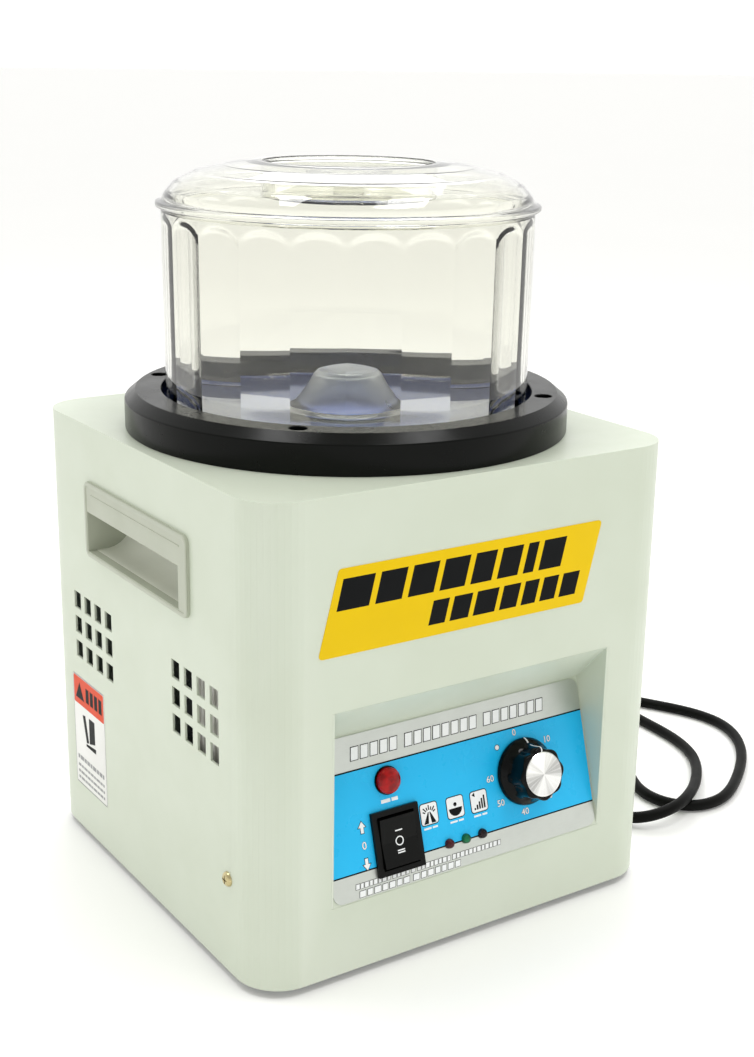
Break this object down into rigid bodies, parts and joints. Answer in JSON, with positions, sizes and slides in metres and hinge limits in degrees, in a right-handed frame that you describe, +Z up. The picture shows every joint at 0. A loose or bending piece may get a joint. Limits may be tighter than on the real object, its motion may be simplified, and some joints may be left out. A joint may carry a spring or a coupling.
{
  "type": "magnetic tumbler",
  "caption": "Bench-top magnetic tumbler: motor-driven magnet disc in a steel cabinet, clear lidded bowl in a black collar, sloped panel with timer, rocker and lamp, mains lead.",
  "frame": {"origin": "centre of the machine's base at the table surface, on the bowl's and motor's common axis", "axes": "+Z up along the drive axis, -Y towards the control panel, +X to the right when facing the panel"},
  "size_m": [0.4156, 0.3641, 0.37],
  "materials": {
    "powder_coat": "fine pale grey-green powder coat, satin",
    "bay_coat": "powder coat, satin",
    "panel_film": "printed blue and silver film, satin",
    "handle_plastic": "moulded warm grey plastic",
    "collar_plastic": "moulded black plastic, satin top",
    "seat_plastic": "glossy slate blue sheet",
    "clear_plastic": "clear moulded plastic",
    "banner_film": "yellow adhesive film",
    "label_film": "white printed adhesive label",
    "zinc_steel": "zinc-plated steel",
    "motor_alloy": "die-cast, bare",
    "laminations": "stacked electrical steel",
    "copper_wire": "enamelled copper winding",
    "bearing_steel": "ground steel",
    "shaft_steel": "turned steel",
    "magnet_nickel": "nickel plate",
    "brass_screw": "brass-passivated screws",
    "black_screw": "blackened steel screws",
    "circuit_board": "green fibreglass board",
    "white_can": "white plastic can",
    "timer_case": "cream moulded case",
    "black_plastic": "black moulded plastic",
    "rocker_plastic": "black textured plastic",
    "lens_red": "translucent red lens",
    "led_red": "unlit red lens",
    "led_green": "unlit green lens",
    "led_dark": "unlit dark lens",
    "knob_alloy": "spun face",
    "foot_rubber": "black rubber",
    "fan_plastic": "black nylon",
    "lead_rubber": "black flexible sheath",
    "tie_velour": "black hook-and-loop strap"
  },
  "bodies": {
    "machine": {"casing_shell": "powder_coat", "base_tray": "zinc_steel", "control_bay": "bay_coat", "control_faceplate": "panel_film", "handle_left": "handle_plastic", "handle_right": "handle_plastic", "bowl_collar": "collar_plastic", "collar_screws": "black_screw", "well_plate": "seat_plastic", "front_banner": "banner_film", "side_label": "label_film", "motor_mount_plate": "zinc_steel", "mount_posts": "zinc_steel", "motor_housing": "motor_alloy", "motor_top_cover": "motor_alloy", "stator_core": "laminations", "stator_windings": "copper_wire", "bearing_lower": "bearing_steel", "bearing_upper": "bearing_steel", "motor_bolts": "zinc_steel", "run_capacitor": "white_can", "capacitor_clamp": "zinc_steel", "control_board": "circuit_board", "board_standoffs": "brass_screw", "indicator_board": "circuit_board", "wire_guard": "white_can", "timer_body": "timer_case", "timer_nut": "zinc_steel", "switch_body": "black_plastic", "lamp_body": "black_plastic", "lamp_lens": "lens_red", "led_left": "led_red", "led_middle": "led_green", "led_right": "led_dark", "foot_front_left": "foot_rubber", "foot_front_right": "foot_rubber", "foot_rear_left": "foot_rubber", "foot_rear_right": "foot_rubber", "foot_screws": "zinc_steel", "side_screws": "brass_screw", "rear_screws": "brass_screw", "fuse_holder": "black_plastic", "fuse_cap": "black_plastic", "cord_gland": "lead_rubber", "mains_cord": "lead_rubber", "cord_coil": "lead_rubber", "cord_tie": "tie_velour", "mains_plug": "black_plastic"},
    "rotor": {"motor_shaft": "shaft_steel", "rotor_core": "laminations", "disc_hub": "motor_alloy", "magnet_disc": "motor_alloy", "disc_magnets": "magnet_nickel", "cooling_fan": "fan_plastic"},
    "timer_dial": {"timer_shaft": "shaft_steel", "timer_knob": "black_plastic", "knob_cap": "knob_alloy"},
    "rocker": {"switch_rocker": "rocker_plastic"},
    "bowl": {"bowl": "clear_plastic"},
    "lid": {"lid": "clear_plastic"}
  },
  "joints": [
    {"name": "rotor_spin", "type": "hinge", "parent": "machine", "child": "rotor", "pos_m": [0, 0, 0.15], "axis": [0, 0, 1], "continuous": true},
    {"name": "timer_turn", "type": "hinge", "parent": "machine", "child": "timer_dial", "pos_m": [0.0385, -0.10834, 0.07633], "axis": [0, -0.9596, 0.2815], "range_deg": [-280, 36]},
    {"name": "rocker_tilt", "type": "hinge", "parent": "machine", "child": "rocker", "pos_m": [-0.041, -0.11133, 0.06189], "axis": [1, 0, 0], "range_deg": [-11, 11]},
    {"name": "bowl_lift", "type": "slide", "parent": "machine", "child": "bowl", "axis": [0, 0, 1], "range_m": [0, 0.12]},
    {"name": "lid_lift", "type": "slide", "parent": "bowl", "child": "lid", "axis": [0, 0, 1], "range_m": [0, 0.1]}
  ]
}
